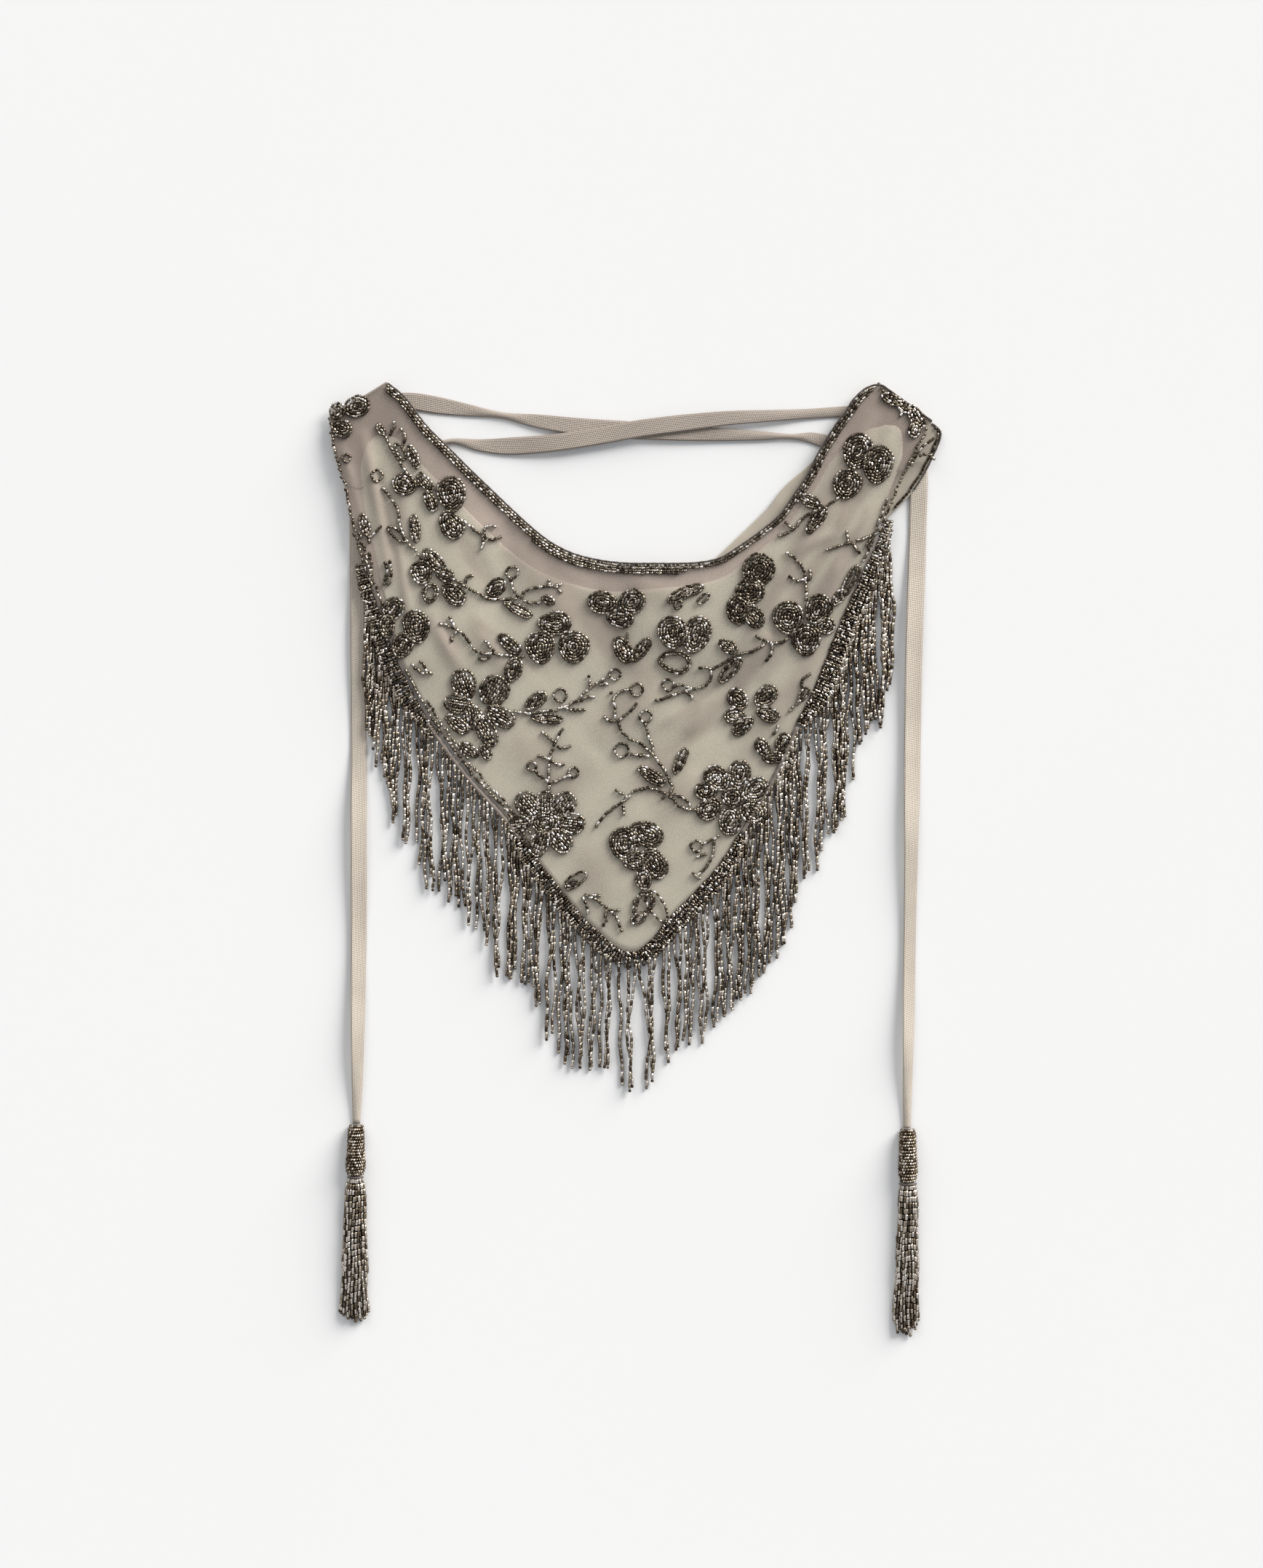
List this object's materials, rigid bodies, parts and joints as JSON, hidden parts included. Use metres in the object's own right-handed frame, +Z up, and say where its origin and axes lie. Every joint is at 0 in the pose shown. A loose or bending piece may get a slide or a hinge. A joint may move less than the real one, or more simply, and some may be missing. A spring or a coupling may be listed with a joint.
{
  "type": "bandana",
  "caption": "Triangular net bandana with an inset lining, bead edging, a hanging bead fringe and ribbon ties that end in bead tassels, laid flat with its ends folded under.",
  "frame": {"origin": "on the surface it lies on, under the middle of the cloth and fringe", "axes": "+X to the right as the front is seen, +Y from the tip towards the neckline, +Z up from the surface towards the viewer"},
  "size_m": [0.3204, 0.5, 0.0082],
  "materials": {
    "net": "fine taupe net",
    "lining": "matt ecru cloth",
    "facing": "fine mauve net, doubled",
    "ribbon": "woven taupe ribbon with a soft sheen",
    "beads": "smoke-grey lined glass tube beads"
  },
  "bodies": {
    "root": {"net_body": "net", "lining": "lining", "neck_facing": "facing", "hem_facing": "facing", "neck_edging": "beads", "hem_wrap_left": "beads", "hem_wrap_right": "beads", "fringe_left": "beads", "fringe_right": "beads", "tie_to_left": "ribbon", "tie_to_right": "ribbon", "tassel_head_left": "beads", "tassel_skirt_left": "beads", "tassel_head_right": "beads", "tassel_skirt_right": "beads"}
  },
  "joints": []
}
